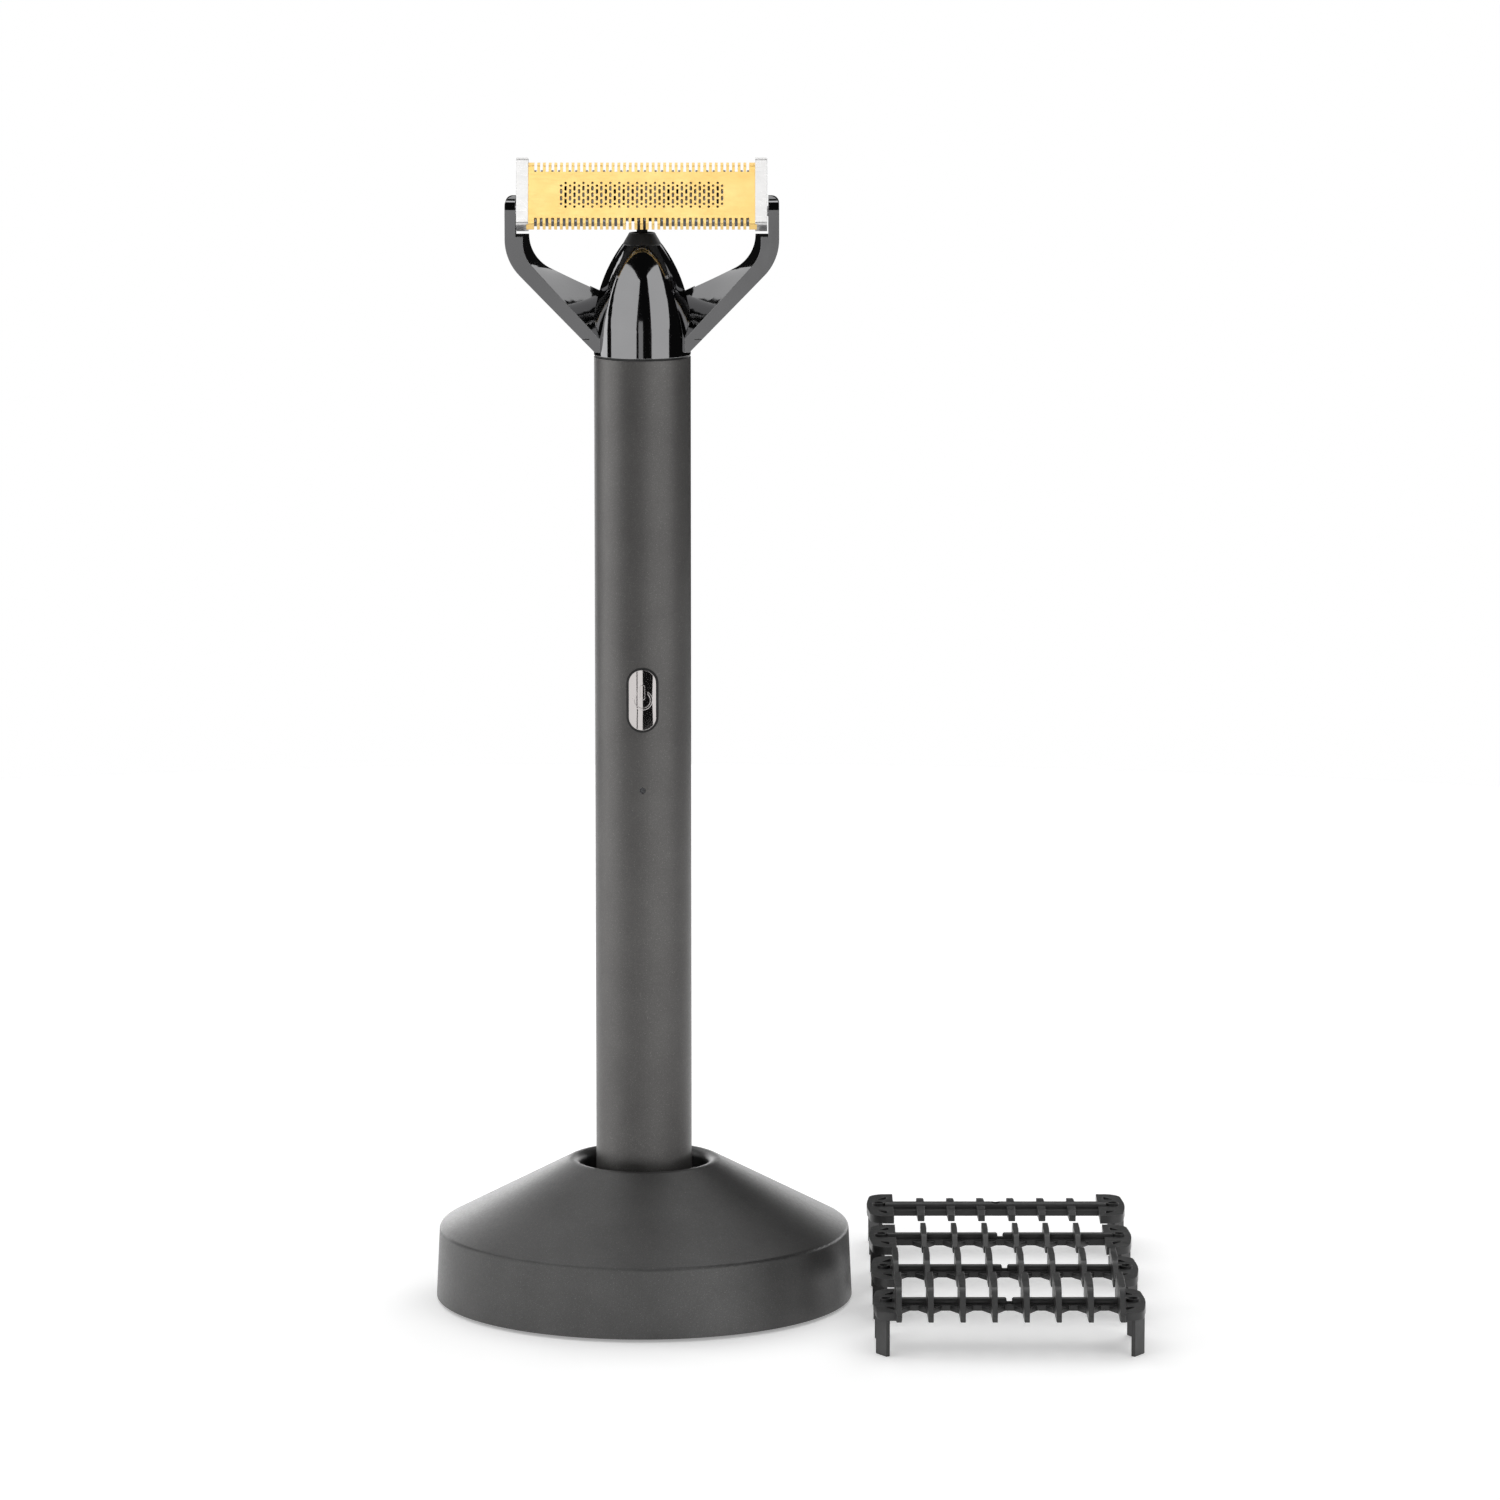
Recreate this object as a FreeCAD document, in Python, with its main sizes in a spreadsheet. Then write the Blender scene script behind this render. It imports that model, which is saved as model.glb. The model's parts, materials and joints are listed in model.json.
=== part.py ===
"""Cordless beard trimmer: a slim round handle with a forked neck and a tilting two-edged cutter head,
standing in its weighted charging stand, with four clip-on guide combs laid beside it.

Units are millimetres. +Z is up, -Y is the front, and the origin is the centre of the stand's rubber pad.
Every driving size is one cell of the spreadsheet; sketches, features and placements are bound to the cells.
"""

import FreeCAD
import Part
import Sketcher
import math
import os

SIZES = {
    # stand
    "base_r": 37.1,  # foot of the stand's shell
    "rim_r": 36.5,  # edge where the side turns into the cone
    "rim_z": 13.0,
    "rim_round": 0.7,
    "cone_top_z": 26.25,  # where the cone would meet the mouth without the lip's rounding
    "mouth_r": 11.4,
    "mouth_z": 19.5,  # lower end of the mouth's wall
    "lip_round": 1.5,
    "shell_wall": 2.0,
    "shell_gap": 0.6,  # the pad lifts the shell this far off the table
    "pad_r": 33.4,
    "pad_thick": 1.0,
    "plate_thick": 2.0,
    "seat_z": 7.4,  # floor of the socket, where the handle stands
    "seat_gap": 0.25,
    "liner_wall": 1.6,
    "ballast_r": 33.0,
    "ballast_bore": 14.2,
    "ballast_thick": 6.4,
    "stand_screw_circle": 24.0,
    "boss_r": 3.0,
    "stand_screw_r": 1.25,
    "stand_screw_head_r": 2.6,
    "stand_screw_head": 1.2,
    "board_thick": 1.0,
    "contact_x": 3.0,  # charging contacts sit this far either side of the axis
    "probe_r": 0.6,
    "probe_barrel_r": 0.95,
    "probe_travel": 0.8,
    "inlet_wide": 8.9,
    "inlet_high": 3.2,
    "inlet_deep": 7.3,
    # handle
    "tube_r": 8.5,
    "tube_wall": 1.0,
    "tube_long": 159.8,
    "tail_flange": 1.6,
    "tail_plug": 5.0,
    "slide_gap": 0.05,
    "chassis_wall": 1.2,
    "chassis_front": 3.0,  # the chassis is open in front of this plane
    "cell_r": 5.1,
    "cell_long": 44.0,
    "cell_z": 30.0,
    "pcb_inset": 0.4,  # the board's edges rest on the chassis this far inside its bore
    "pcb_long": 41.0,
    "button_z": 109.0,
    "button_wide": 4.8,
    "button_tall": 10.7,
    "button_rim": 0.34,  # width of the black seal round the button
    "button_gap": 0.06,
    "button_proud": 0.15,
    "button_travel": 0.5,
    "switch_wide": 3.4,
    "switch_tall": 4.2,
    "switch_deep": 1.3,
    "plunger_r": 0.75,
    "plunger_long": 1.1,
    "light_drop": 16.1,  # the charge light is this far below the button
    "light_r": 0.55,
    # drive
    "motor_r": 5.0,
    "motor_long": 20.0,
    "motor_drop": 20.3,  # the mounting plate's top is this far below the neck's joint
    "motor_back": 3.0,  # closed rear end of the can
    "motor_collar_r": 1.9,
    "motor_screw_x": 3.2,
    "motor_screw_r": 0.8,
    "motor_screw_bite": 1.8,
    "motor_screw_head_r": 1.15,
    "motor_screw_head": 0.7,
    "shaft_r": 0.5,
    "crank_throw": 0.25,
    "crank_hub_r": 1.7,
    "crank_hub": 1.6,
    "crank_disc_r": 1.2,
    "crank_disc": 0.6,
    "crank_pin_r": 0.6,
    "crank_pin": 2.6,
    "lever_drop": 4.2,  # the lever's pin is this far below the neck's joint
    "lever_wide": 1.9,
    "lever_deep": 1.6,
    "lever_pin_r": 0.75,
    "lever_boss": 4.0,  # width of the lever round its pin
    "lever_foot": 5.2,  # width of the ring which the crank's pin turns in
    "lever_foot_tall": 2.4,
    "lever_room": 0.9,  # room on each side of the lever inside the boot
    "motor_clear": 3.6,  # the lever's foot is this far above the motor's mounting plate
    # neck and fork
    "ring_thick": 0.4,
    "neck_straight": 4.2,  # height of the cylindrical part of the neck
    "neck_tall": 19.4,
    "neck_top_r": 3.45,
    "neck_lip": 1.05,  # wall round the neck's mouth, which holds the boot
    "boot_tall": 2.0,
    "spigot_long": 8.2,
    "neck_wall": 1.3,
    "fork_half": 24.0,
    "fork_tip": 1.9,  # thickness of the arm beside the head
    "fork_band": 3.1,  # width of the arm's front edge
    "fork_web": 4.3,  # width of the arm's back edge
    "fork_front": 4.1,
    "fork_back": 3.6,
    "fork_crotch": 10.2,  # height of the notch between the arm's web and the neck
    "fork_corner": 16.8,  # height of the arm's outer corner above the neck's joint
    "fork_bend": 9.0,
    "head_gap": 0.2,
    # head, measured from its tilt axis along its own face ("high") and out of its face ("front")
    "head_tilt": 20.0,
    "pivot_rise": 25.3,  # the tilt axis is this far above the neck's joint
    "pivot_forward": 1.5,
    "pivot_r": 0.9,
    "pivot_boss": 2.6,
    "tilt_room": 4.35,  # the fork is cut away below the axis to let the head tilt
    "head_low": 3.68,
    "head_high": 8.5,
    "head_front": 4.6,
    "head_rear": 2.0,
    "cap_thick": 2.1,
    "cap_round": 0.6,
    "cap_slope": 1.3,  # the rear of the cap's foot slopes up this much
    "foil_mid": 1.75,  # the foil, blade and carrier are centred this far above the axis
    "foil_front": 4.4,
    "foil_half": 5.3,
    "foil_thick": 0.3,
    "foil_tuck": 0.3,  # depth of the foil's ends in the end caps
    "lip_rise": 0.74,
    "lip_back": 0.88,
    "tooth_pitch": 1.0,
    "tooth_slot": 0.5,
    "tooth_deep": 1.15,
    "tooth_slots": 38,
    "hole_pitch": 0.78,
    "hole_wide": 0.42,
    "hole_columns": 37,
    "hole_long": 0.85,
    "hole_short": 0.42,
    "blade_gap": 0.15,
    "blade_thick": 0.4,
    "blade_half": 4.55,
    "blade_pitch": 1.5,
    "blade_slot": 0.75,
    "blade_slots": 25,
    "blade_stroke": 0.6,
    "carrier_half": 4.1,
    "carrier_rear": 1.6,
    "carrier_wall": 1.0,
    "carrier_slot": 5.6,  # width of the opening which the lever comes in through
    "slider_rear": 1.8,
    # guide combs
    "comb_clear": 3.05,  # the combs lie this far from the stand's foot
    "comb_row": 26.0,
    "comb_half": 23.85,
    "comb_inner": 18.8,
    "comb_tall": 9.5,
    "comb_leg": 6.6,
    "comb_plate": 1.4,
    "comb_pitch": 5.53,
    "comb_round": 3.0,
    "comb_window_low": 4.7,
    "comb_window_high": 7.3,
    "comb_window_wide": 1.8,
    "comb_peg_inset": 2.4,
    "comb_peg_r": 1.15,
    "comb_dimple_r": 0.8,
}

COMBS = [
    # name, row from the back, rise of the teeth, half length of a tooth, half widths at root and tip,
    # number of teeth, half width of the spine
    ("guide_comb_1", 1.5, 0.1, 7.45, 0.82, 0.60, 6, 2.85),
    ("guide_comb_2", 0.5, 1.4, 8.0, 0.55, 0.42, 6, 1.7),
    ("guide_comb_3", -0.5, 2.5, 9.4, 0.58, 0.42, 8, 1.7),
    ("guide_comb_4", -1.5, 3.8, 10.75, 0.66, 0.46, 8, 1.7),
]

doc = FreeCAD.newDocument("beard_trimmer")
sheet = doc.addObject("Spreadsheet::Sheet", "Sheet")
for row, (alias, number) in enumerate(SIZES.items(), start=1):
    sheet.set(f"A{row}", alias)
    sheet.set(f"B{row}", str(number))
    sheet.setAlias(f"B{row}", alias)
doc.recompute()


class Size:
    """A length with the spreadsheet expression that gives it, so that arithmetic builds both at once."""

    def __init__(self, value, text):
        self.value = value
        self.text = text

    def __add__(self, other):
        other = size(other)
        return Size(self.value + other.value, f"({self.text} + {other.text})")

    def __sub__(self, other):
        other = size(other)
        return Size(self.value - other.value, f"({self.text} - {other.text})")

    def __mul__(self, other):
        other = size(other)
        return Size(self.value * other.value, f"({self.text} * {other.text})")

    def __truediv__(self, other):
        other = size(other)
        return Size(self.value / other.value, f"({self.text} / {other.text})")

    def __neg__(self):
        return Size(-self.value, f"(-{self.text})")

    __radd__ = __add__
    __rmul__ = __mul__

    def __rsub__(self, other):
        return size(other) - self


def size(number):
    """A plain number as a Size; a Size stays as it is."""
    return number if isinstance(number, Size) else Size(float(number), repr(float(number)))


def is_fixed(number):
    return "Sheet." not in size(number).text


class Cells:
    """Cells().tube_r is the spreadsheet's tube_r as a Size."""

    def __getattr__(self, alias):
        return Size(float(SIZES[alias]), f"Sheet.{alias}")


s = Cells()
PLANES = {"XY": "XY_Plane", "XZ": "XZ_Plane", "YZ": "YZ_Plane"}
PARTS = []


def keep(item):
    """Marks an object as a sub-part to export."""
    PARTS.append(item)
    return item


def bind(item, prop, number):
    """Sets a property, bound to the spreadsheet where the size depends on it."""
    number = size(number)
    if is_fixed(number):
        item.setExpression(prop, str(number.value))
    else:
        item.setExpression(prop, number.text)


def place(item, x=0, y=0, z=0, tilt=None):
    """Puts an object at x, y, z, turned by tilt about X."""
    for axis, number in (("x", x), ("y", y), ("z", z)):
        bind(item, f"Placement.Base.{axis}", number)
    if tilt is not None:
        about_x = FreeCAD.Rotation(FreeCAD.Vector(1, 0, 0), 1)
        item.Placement = FreeCAD.Placement(item.Placement.Base, about_x)
        bind(item, "Placement.Rotation.Angle", tilt)


def new_body(label):
    body = doc.addObject("PartDesign::Body", label)
    body.Label = label
    body.AllowCompound = True
    return keep(body)


def pin_point(sketch, geo, pos, x, y):
    """Fixes a sketch point at x, y from the sketch's origin."""
    for kind, number, axis in (("DistanceX", x, -2), ("DistanceY", y, -1)):
        number = size(number)
        if is_fixed(number) and abs(number.value) < 1e-9:
            sketch.addConstraint(Sketcher.Constraint("PointOnObject", geo, pos, axis))
            continue
        index = sketch.addConstraint(Sketcher.Constraint(kind, -1, 1, geo, pos, number.value))
        if not is_fixed(number):
            sketch.setExpression(f"Constraints[{index}]", number.text)


def pin_radius(sketch, geo, radius):
    radius = size(radius)
    index = sketch.addConstraint(Sketcher.Constraint("Radius", geo, radius.value))
    if not is_fixed(radius):
        sketch.setExpression(f"Constraints[{index}]", radius.text)


def draw_circle(sketch, x, y, radius):
    centre = FreeCAD.Vector(size(x).value, size(y).value, 0)
    geo = sketch.addGeometry(Part.Circle(centre, FreeCAD.Vector(0, 0, 1), size(radius).value))
    pin_point(sketch, geo, 3, x, y)
    pin_radius(sketch, geo, radius)


def corner_arc(before, corner, after, radius):
    """What rounds a corner: (entry point, exit point, arc, whether the arc runs from entry to exit)."""
    back = (before - corner).normalize()
    ahead = (after - corner).normalize()
    half = back.getAngle(ahead) / 2
    entry = corner + back * (radius / math.tan(half))
    leave = corner + ahead * (radius / math.tan(half))
    centre = corner + (back + ahead).normalize() * (radius / math.sin(half))
    left_turn = back.cross(ahead).z < 0
    first, last = (entry, leave) if left_turn else (leave, entry)
    start = math.atan2(first.y - centre.y, first.x - centre.x)
    end = math.atan2(last.y - centre.y, last.x - centre.x)
    circle = Part.Circle(centre, FreeCAD.Vector(0, 0, 1), radius)
    if end <= start:
        end += 2 * math.pi
    return entry, leave, Part.ArcOfCircle(circle, start, end), left_turn


def draw_outline(sketch, corners):
    """Draws a closed outline. A corner is (x, y), or (x, y, radius) where it is rounded."""
    count = len(corners)
    points = [FreeCAD.Vector(size(c[0]).value, size(c[1]).value, 0) for c in corners]
    entries, exits, arcs = list(points), list(points), {}
    for i, corner in enumerate(corners):
        if len(corner) == 3:
            radius = size(corner[2]).value
            ahead = points[(i + 1) % count]
            entries[i], exits[i], arc, left = corner_arc(points[i - 1], points[i], ahead, radius)
            arcs[i] = (arc, left)
    lines = [sketch.addGeometry(Part.LineSegment(exits[i], entries[(i + 1) % count])) for i in range(count)]
    for i, corner in enumerate(corners):
        into, out = lines[i - 1], lines[i]
        if i not in arcs:
            sketch.addConstraint(Sketcher.Constraint("Coincident", into, 2, out, 1))
            pin_point(sketch, out, 1, corner[0], corner[1])
            continue
        arc, left = arcs[i]
        geo = sketch.addGeometry(arc)
        mark = sketch.addGeometry(Part.Point(points[i]), True)
        first, last = (1, 2) if left else (2, 1)
        sketch.addConstraint(Sketcher.Constraint("Tangent", into, 2, geo, first))
        sketch.addConstraint(Sketcher.Constraint("Tangent", out, 1, geo, last))
        sketch.addConstraint(Sketcher.Constraint("PointOnObject", mark, 1, into))
        sketch.addConstraint(Sketcher.Constraint("PointOnObject", mark, 1, out))
        pin_point(sketch, mark, 1, corner[0], corner[1])
        pin_radius(sketch, geo, corner[2])


def new_sketch(body, plane, loops, height=0):
    """A sketch on one of the body's origin planes, moved along the plane's normal by height.
    A loop is a list of corners, or (x, y, radius) for a circle."""
    sketch = body.newObject("Sketcher::SketchObject", body.Label + "_sketch")
    origin_plane = [f for f in body.Origin.OriginFeatures if f.Role == PLANES[plane]][0]
    sketch.AttachmentSupport = (origin_plane, [""])
    sketch.MapMode = "FlatFace"
    bind(sketch, "AttachmentOffset.Base.z", height)
    for loop in loops:
        if isinstance(loop, tuple):
            draw_circle(sketch, *loop)
        else:
            draw_outline(sketch, loop)
    return sketch


def add_feature(body, kind, sketch, **settings):
    feature = body.newObject("PartDesign::" + kind, f"{body.Label}_{kind.lower()}")
    if sketch is not None:
        feature.Profile = sketch
    for name, value in settings.items():
        if isinstance(value, (Size, int, float)) and not isinstance(value, bool) and name != "Occurrences":
            bind(feature, name, value)
        else:
            setattr(feature, name, value)
    body.Tip = feature
    return feature


def pad(body, plane, loops, length, height=0, flip=False, both=False):
    sketch = new_sketch(body, plane, loops, height)
    side = "Symmetric" if both else "One side"
    return add_feature(body, "Pad", sketch, SideType=side, Length=size(length), Reversed=flip)


def cut(body, plane, loops, length, height=0, flip=False, both=False):
    """Removes loops, padded along the plane's normal (against it with flip)."""
    sketch = new_sketch(body, plane, loops, height)
    side = "Symmetric" if both else "One side"
    return add_feature(body, "Pocket", sketch, SideType=side, Length=size(length), Reversed=not flip)


def turn(body, corners, kind="Revolution"):
    """Revolves a profile of (radius, height) corners about Z; kind Groove removes it."""
    sketch = new_sketch(body, "XZ", [corners])
    return add_feature(body, kind, sketch, ReferenceAxis=(sketch, ["V_Axis"]), Angle=360.0)


def repeat(body, features, axis, pitch, count):
    """Repeats features along a sketch axis of the body, count times, pitch apart."""
    line = [f for f in body.Origin.OriginFeatures if f.Role == axis][0]
    pattern = add_feature(body, "LinearPattern", None, Originals=features, Direction=(line, [""]),
                          Mode="Spacing")
    bind(pattern, "Offset", pitch)
    pattern.Occurrences = int(count)
    return pattern


def repeat_round(body, features, count):
    line = [f for f in body.Origin.OriginFeatures if f.Role == "Z_Axis"][0]
    pattern = add_feature(body, "PolarPattern", None, Originals=features, Axis=(line, [""]), Angle=360.0)
    pattern.Occurrences = count
    return pattern


def mirror(body, features, plane="YZ"):
    face = [f for f in body.Origin.OriginFeatures if f.Role == PLANES[plane]][0]
    return add_feature(body, "Mirrored", None, Originals=features, MirrorPlane=(face, [""]))


def ring(r_in, r_out, z_low, z_high):
    """Corners of a plain ring's profile."""
    return [(r_in, z_low), (r_out, z_low), (r_out, z_high), (r_in, z_high)]


def rectangle(x_low, x_high, y_low, y_high, radius=None):
    corners = [(x_low, y_low), (x_high, y_low), (x_high, y_high), (x_low, y_high)]
    return corners if radius is None else [(x, y, radius) for x, y in corners]


def centred(wide, tall, y=0, radius=None):
    """A rectangle centred on x = 0 at height y."""
    return rectangle(-wide / 2, wide / 2, y - tall / 2, y + tall / 2, radius)


def slot(wide, tall, y=0):
    """An upright slot with round ends."""
    return centred(wide, tall, y, wide * 0.49)


# ---------------------------------------------------------------- heights shared by the pieces

plate_low = s.pad_thick
plate_high = s.pad_thick + s.plate_thick
tube_low = s.seat_z + s.tail_flange
tube_high = tube_low + s.tube_long
tube_bore = s.tube_r - s.tube_wall
joint_z = tube_high + s.ring_thick  # where the glossy neck starts
plug_r = tube_bore - s.slide_gap
pivot_z = joint_z + s.pivot_rise
lever_z = joint_z - s.lever_drop
mount_z = joint_z - s.motor_drop
mount_thick = size(2.0)
motor_top = mount_z - mount_thick
chassis_low = tube_low + s.tail_plug + 0.5
chassis_r = tube_bore - s.slide_gap
chassis_bore = chassis_r - s.chassis_wall


# ---------------------------------------------------------------- stand

def cone_z(radius):
    """Height of the cone's inner face at a radius."""
    inner_r = s.rim_r - s.shell_wall
    slope = (s.cone_top_z - s.rim_z) / (s.rim_r - s.mouth_r)
    return s.rim_z - s.shell_wall * 0.1 + (inner_r - radius) * slope


def foot_r(height):
    """Radius of the foot's inner wall at a height."""
    inner_r = s.rim_r - s.shell_wall
    lean = (s.base_r - s.rim_r) / (cone_z(inner_r) - s.shell_gap)
    return s.base_r - s.shell_wall - (height - s.shell_gap) * lean


def make_stand_shell():
    body = new_body("stand_shell")
    boss_low = plate_high + s.ballast_thick
    boss_in = s.stand_screw_circle - s.boss_r * 2
    boss_out = s.stand_screw_circle + s.boss_r * 2
    boss = pad(body, "XY", [(s.stand_screw_circle, 0, s.boss_r)], cone_z(boss_in) - boss_low, boss_low)
    bore = cut(body, "XY", [(s.stand_screw_circle, 0, s.stand_screw_r)],
               cone_z(s.stand_screw_circle) - boss_low - 1.5, boss_low)
    repeat_round(body, [boss, bore], 3)
    sunk = s.shell_wall * 0.3
    turn(body, [
        (boss_in, cone_z(boss_in) + sunk),
        (boss_out, cone_z(boss_out) + sunk),
        (boss_out, cone_z(boss_in) + sunk),
    ], "Groove")

    neck_r = s.mouth_r + s.shell_wall
    inner_r = s.rim_r - s.shell_wall
    turn(body, [
        (s.base_r, s.shell_gap),
        (s.rim_r, s.rim_z, s.rim_round),
        (s.mouth_r, s.cone_top_z, s.lip_round),
        (s.mouth_r, s.mouth_z),
        (neck_r, s.mouth_z),
        (neck_r, cone_z(neck_r)),
        (inner_r, cone_z(inner_r)),
        (foot_r(s.shell_gap), s.shell_gap),
    ])
    window = centred(s.inlet_wide + 0.4, s.inlet_high + 0.4, plate_high + s.inlet_high / 2, 1.6)
    cut(body, "XZ", [window], s.base_r, flip=True)


def make_socket_liner():
    body = new_body("socket_liner")
    seat_r = s.tube_r + s.seat_gap
    wall_r = seat_r + s.liner_wall
    flange_r = s.mouth_r + s.shell_wall
    turn(body, [
        (0, s.seat_z - s.liner_wall),
        (wall_r, s.seat_z - s.liner_wall),
        (wall_r, s.mouth_z - s.liner_wall),
        (flange_r, s.mouth_z - s.liner_wall),
        (flange_r, s.mouth_z),
        (s.mouth_r, s.mouth_z),
        (seat_r, s.mouth_z - s.liner_wall * 2),
        (seat_r, s.seat_z),
        (0, s.seat_z),
    ])
    hole_r = s.probe_barrel_r + 0.1
    cut(body, "XY", [(s.contact_x, 0, hole_r), (-s.contact_x, 0, hole_r)], s.liner_wall + 0.4,
        s.seat_z - s.liner_wall - 0.2)


def make_ballast():
    body = new_body("ballast_weight")
    turn(body, ring(s.ballast_bore, s.ballast_r, plate_high, plate_high + s.ballast_thick))
    hole = cut(body, "XY", [(s.stand_screw_circle, 0, s.stand_screw_r + 0.4)], s.ballast_thick, plate_high)
    repeat_round(body, [hole], 3)
    notch = rectangle(-s.inlet_wide / 2 - 1, s.inlet_wide / 2 + 1, s.ballast_bore - 1, s.ballast_r + 1)
    cut(body, "XY", [notch], s.ballast_thick, plate_high)


def make_base_plate():
    body = new_body("base_plate")
    turn(body, ring(0, foot_r(plate_high) - s.slide_gap, plate_low, plate_high))
    hole = cut(body, "XY", [(s.stand_screw_circle, 0, s.stand_screw_r + 0.2)], s.plate_thick, plate_low)
    head_seat = (s.stand_screw_circle, 0, s.stand_screw_head_r + 0.2)
    seat = cut(body, "XY", [head_seat], s.stand_screw_head, plate_low)
    repeat_round(body, [hole, seat], 3)
    pad_body = new_body("base_pad")
    turn(pad_body, ring(0, s.pad_r, 0, s.pad_thick))


def make_base_screws():
    body = new_body("base_screws")
    head_low = plate_low + 0.1
    head_high = plate_low + s.stand_screw_head
    shank_high = cone_z(s.stand_screw_circle) - 2.0
    shank_circle = (s.stand_screw_circle, 0, s.stand_screw_r)
    head_circle = (s.stand_screw_circle, 0, s.stand_screw_head_r)
    head = pad(body, "XY", [head_circle], head_high - head_low, head_low)
    recess = cut(body, "XY", [shank_circle], 0.6, head_low)
    shank = pad(body, "XY", [shank_circle], shank_high - head_high, head_high)
    repeat_round(body, [head, recess, shank], 3)


def make_charger():
    inlet_back = foot_r(plate_high + s.inlet_high) - 0.1
    board_high = plate_high + s.board_thick
    board = new_body("charge_board")
    turn(board, ring(0, s.tube_r, plate_high, board_high))
    tail = rectangle(-s.contact_x, s.contact_x, 0, inlet_back - s.inlet_deep - 0.1)
    pad(board, "XY", [tail], s.board_thick, plate_high)

    barrels = new_body("probe_barrels")
    circles = [(s.contact_x, 0, s.probe_barrel_r), (-s.contact_x, 0, s.probe_barrel_r)]
    bores = [(s.contact_x, 0, s.probe_r + 0.06), (-s.contact_x, 0, s.probe_r + 0.06)]
    barrel_high = s.seat_z - 0.3
    pad(barrels, "XY", circles, barrel_high - board_high, board_high)
    cut(barrels, "XY", bores, barrel_high - board_high - 0.5, board_high + 0.5)

    probes = new_body("charge_probes")
    tips = [(s.contact_x, 0, s.probe_r), (-s.contact_x, 0, s.probe_r)]
    probe_low = board_high + 0.6 + s.probe_travel
    pad(probes, "XY", tips, s.seat_z - 0.05 - probe_low, probe_low)

    inlet = new_body("power_inlet")
    outside = centred(s.inlet_wide, s.inlet_high, plate_high + s.inlet_high / 2, 1.4)
    inside = centred(s.inlet_wide - 0.6, s.inlet_high - 0.6, plate_high + s.inlet_high / 2, 1.2)
    tongue = centred(s.inlet_wide - 2.2, 0.7, plate_high + s.inlet_high / 2)
    pad(inlet, "XZ", [outside], s.inlet_deep, -inlet_back)
    cut(inlet, "XZ", [inside], s.inlet_deep - 0.8, -inlet_back)
    pad(inlet, "XZ", [tongue], s.inlet_deep - 1.4, -inlet_back + 1.2)


# ---------------------------------------------------------------- handle

def make_handle_tube():
    body = new_body("handle_tube")
    turn(body, ring(tube_bore, s.tube_r, tube_low, tube_high))
    border = (s.button_rim + s.button_gap) * 2
    opening = slot(s.button_wide + border, s.button_tall + border, s.button_z)
    light_hole = (0, s.button_z - s.light_drop, s.light_r)
    cut(body, "XZ", [opening, light_hole], s.tube_r + 1)


def make_tail():
    cap = new_body("tail_cap")
    plug_high = tube_low + s.tail_plug
    groove_z = tube_low + s.tail_plug / 2
    cut_r = plug_r - 0.8
    turn(cap, [
        (0, s.seat_z), (s.tube_r - 0.5, s.seat_z), (s.tube_r, s.seat_z + 0.5), (s.tube_r, tube_low),
        (plug_r, tube_low), (plug_r, groove_z - 0.6), (cut_r, groove_z - 0.6), (cut_r, groove_z + 0.6),
        (plug_r, groove_z + 0.6), (plug_r, plug_high), (0, plug_high),
    ])
    pads = [(s.contact_x, 0, 1.5), (-s.contact_x, 0, 1.5)]
    cut(cap, "XY", pads, s.tail_flange + s.tail_plug, s.seat_z)
    contacts = new_body("tail_contacts")
    pad(contacts, "XY", pads, s.tail_flange + s.tail_plug, s.seat_z)
    seal = new_body("tail_seal")
    turn(seal, ring(cut_r, tube_bore, groove_z - 0.5, groove_z + 0.5))


def make_chassis():
    body = new_body("inner_chassis")
    deck = size(1.2)
    cell_high = s.cell_z + s.cell_long
    board_low = s.button_z - s.light_drop - 9
    web_r = s.cell_r * 0.4
    profile = [
        (chassis_bore, chassis_low), (chassis_r, chassis_low),
        (chassis_r, motor_top), (chassis_bore, motor_top),
    ]
    for deck_high in (board_low, cell_high + 1 + deck, s.cell_z - 1):
        profile += [
            (chassis_bore, deck_high), (web_r, deck_high),
            (web_r, deck_high - deck), (chassis_bore, deck_high - deck),
        ]
    turn(body, profile)
    front = rectangle(-s.tube_r, s.tube_r, chassis_low - 1, motor_top + 1)
    cut(body, "XZ", [front], s.tube_r, s.chassis_front)


def make_cell():
    body = new_body("battery_cell")
    high = s.cell_z + s.cell_long
    turn(body, [
        (0, s.cell_z), (s.cell_r, s.cell_z, 0.5), (s.cell_r, high - 1, 0.5), (s.cell_r * 0.4, high - 1),
        (s.cell_r * 0.4, high), (0, high),
    ])
    tabs = new_body("battery_tabs")
    half = size(1.5)
    thick = size(0.25)
    front = -(s.cell_r + 0.3)
    pad(tabs, "YZ", [[
        (front, s.cell_z - thick), (0, s.cell_z - thick), (0, s.cell_z), (front + thick, s.cell_z),
        (front + thick, high + 6), (front, high + 6),
    ]], half * 2, both=True)
    riser = -(s.chassis_front + 0.6)
    pad(tabs, "YZ", [[
        (riser, high), (half, high), (half, high + thick), (riser + thick, high + thick),
        (riser + thick, high + 6), (riser, high + 6),
    ]], half * 2, both=True)


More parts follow.
